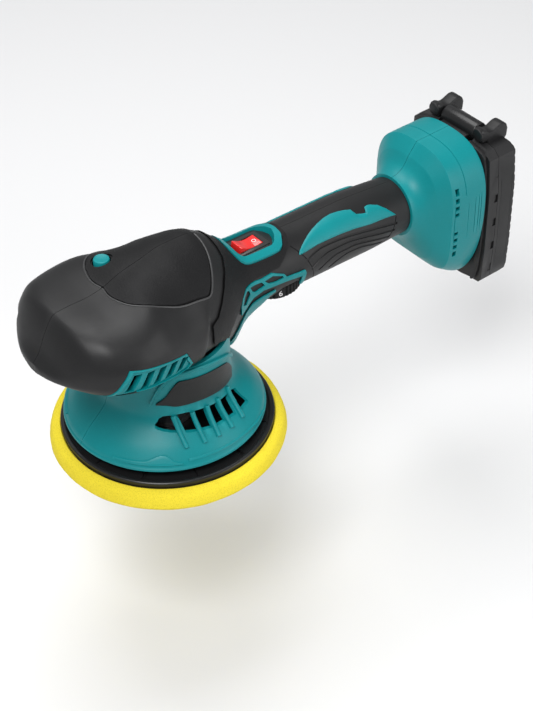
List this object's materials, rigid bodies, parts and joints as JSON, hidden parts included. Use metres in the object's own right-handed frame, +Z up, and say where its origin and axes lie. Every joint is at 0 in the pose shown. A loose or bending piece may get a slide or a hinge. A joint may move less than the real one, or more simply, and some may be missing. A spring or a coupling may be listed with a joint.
{
  "type": "dual action polisher",
  "caption": "Cordless dual action polisher with a round foam pad under a bell shroud, straight handle with rocker switch, and a slide-on battery.",
  "frame": {"origin": "on the motor axis, in the plane of the foam pad's working face", "axes": "+X back along the handle towards the battery, +Z up along the spindle, the clamshell halves meet on y = 0"},
  "size_m": [0.3538, 0.15, 0.1409],
  "materials": {
    "teal_plastic": "fine satin moulding",
    "black_plastic": "fine spark texture",
    "soft_grip": "grained soft overmould",
    "lead_sheath": "satin",
    "lead_red": "satin",
    "rocker_red": "glossy",
    "foam": "open-cell foam",
    "hook_fabric": "hook pile",
    "steel": "ground",
    "counterweight_iron": "plain",
    "winding": "enamelled copper",
    "aluminium": "die cast",
    "circuit_board": "lacquered",
    "regulator_case": "moulded",
    "cell_wrap": "shrink wrap",
    "contact_metal": "plated"
  },
  "bodies": {
    "housing": {"shroud_left": "teal_plastic", "shroud_right": "teal_plastic", "neck_panel_left": "black_plastic", "neck_panel_right": "black_plastic", "head_cover_left": "black_plastic", "head_cover_right": "black_plastic", "top_grip_left": "soft_grip", "top_grip_right": "soft_grip", "vent_grille_left": "teal_plastic", "vent_grille_right": "teal_plastic", "handle_shell_left": "black_plastic", "handle_shell_right": "black_plastic", "grip_accent_left": "teal_plastic", "grip_accent_right": "teal_plastic", "dial_trim_left": "teal_plastic", "dial_trim_right": "teal_plastic", "switch_saddle": "soft_grip", "switch_bezel": "teal_plastic", "switch_body": "black_plastic", "speed_regulator": "regulator_case", "motor_stator": "winding", "upper_bearing": "steel", "lower_bearing": "steel", "motor_bracket": "aluminium", "rear_housing_left": "teal_plastic", "rear_housing_right": "teal_plastic", "housing_screw_1": "steel", "housing_screw_2": "steel", "housing_screw_3": "steel", "control_board": "circuit_board", "heat_sink": "aluminium", "terminal_block": "black_plastic", "power_lead_red": "lead_red", "power_lead_black": "lead_sheath", "motor_lead": "lead_sheath", "lock_spring": "steel"},
    "drive": {"motor_rotor": "counterweight_iron", "motor_shaft": "steel", "lock_ring": "steel", "cooling_fan": "black_plastic", "counterweight": "counterweight_iron", "pad_bearing": "steel"},
    "pad": {"pad_hub": "steel", "backing_plate": "black_plastic", "plate_bolt": "steel", "hook_disc": "hook_fabric", "foam_pad": "foam"},
    "rocker": {"rocker": "rocker_red"},
    "speed_dial": {"speed_dial": "soft_grip"},
    "lock_button": {"lock_button": "teal_plastic"},
    "battery": {"pack_front": "black_plastic", "pack_rear": "black_plastic", "cell_1": "cell_wrap", "cell_2": "cell_wrap", "cell_3": "cell_wrap", "cell_4": "cell_wrap", "cell_5": "cell_wrap", "pack_contacts": "contact_metal", "release_spring": "steel"},
    "release_button": {"release_button": "black_plastic"}
  },
  "joints": [
    {"name": "rotor_spin", "type": "hinge", "parent": "housing", "child": "drive", "pos_m": [0, 0, 0.06], "axis": [0, 0, 1], "continuous": true},
    {"name": "pad_spin", "type": "hinge", "parent": "drive", "child": "pad", "pos_m": [0, -0.0025, 0.033], "axis": [0, 0, 1], "continuous": true},
    {"name": "rocker_tilt", "type": "hinge", "parent": "housing", "child": "rocker", "pos_m": [0.067, 0, 0.108], "axis": [0, -1, 0], "range_deg": [0, 20]},
    {"name": "dial_turn", "type": "hinge", "parent": "housing", "child": "speed_dial", "pos_m": [0.0845, 0, 0.0785], "axis": [0, 0, 1], "range_deg": [-270, 0]},
    {"name": "lock_press", "type": "slide", "parent": "housing", "child": "lock_button", "axis": [0, 0, -1], "range_m": [0, 0.003], "stiffness_N_per_m": 500, "springref_m": -0.002, "deforming": ["lock_spring"]},
    {"name": "battery_slide", "type": "slide", "parent": "housing", "child": "battery", "axis": [0, 0, 1], "range_m": [0, 0.09]},
    {"name": "latch_press", "type": "slide", "parent": "battery", "child": "release_button", "axis": [0, 0, -1], "range_m": [0, 0.003], "stiffness_N_per_m": 900, "springref_m": -0.002, "deforming": ["release_spring"]}
  ]
}
